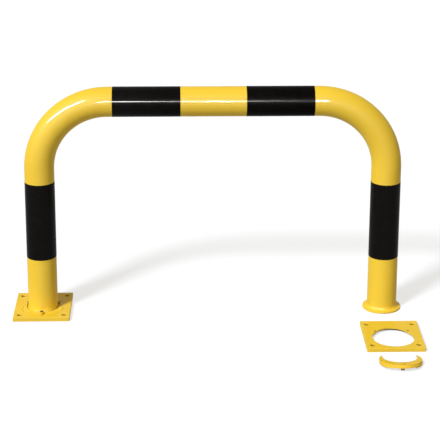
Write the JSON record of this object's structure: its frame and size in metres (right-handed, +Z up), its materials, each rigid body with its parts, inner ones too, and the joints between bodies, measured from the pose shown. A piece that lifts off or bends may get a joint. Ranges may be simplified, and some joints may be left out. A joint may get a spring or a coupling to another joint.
{
  "type": "hoop barrier",
  "caption": "Bent steel tube hoop barrier, yellow with black film bands, one foot locked in its base plate and the other open with its plate and lock ring beside it.",
  "frame": {"origin": "centre of the left base plate's four fixing holes, on the floor", "axes": "+X along the barrier from the left leg to the right one, +Y to the rear, +Z up"},
  "size_m": [1.0319, 0.4822, 0.6003],
  "materials": {
    "yellow_coat": "glossy powder coat",
    "black_film": "glossy adhesive film",
    "dark_screw": "black oxide"
  },
  "bodies": {
    "root": {"hoop_tube": "yellow_coat", "left_collar": "yellow_coat", "right_collar": "yellow_coat", "left_base_plate": "yellow_coat", "right_base_plate": "yellow_coat", "left_lock_ring": "yellow_coat", "right_lock_ring": "yellow_coat", "left_ring_screw": "yellow_coat", "right_ring_screw": "yellow_coat", "left_leg_band": "black_film", "right_leg_band": "black_film", "bar_band_left": "black_film", "bar_band_right": "black_film", "left_clamp_screws": "dark_screw", "right_clamp_screws": "dark_screw"}
  },
  "joints": []
}
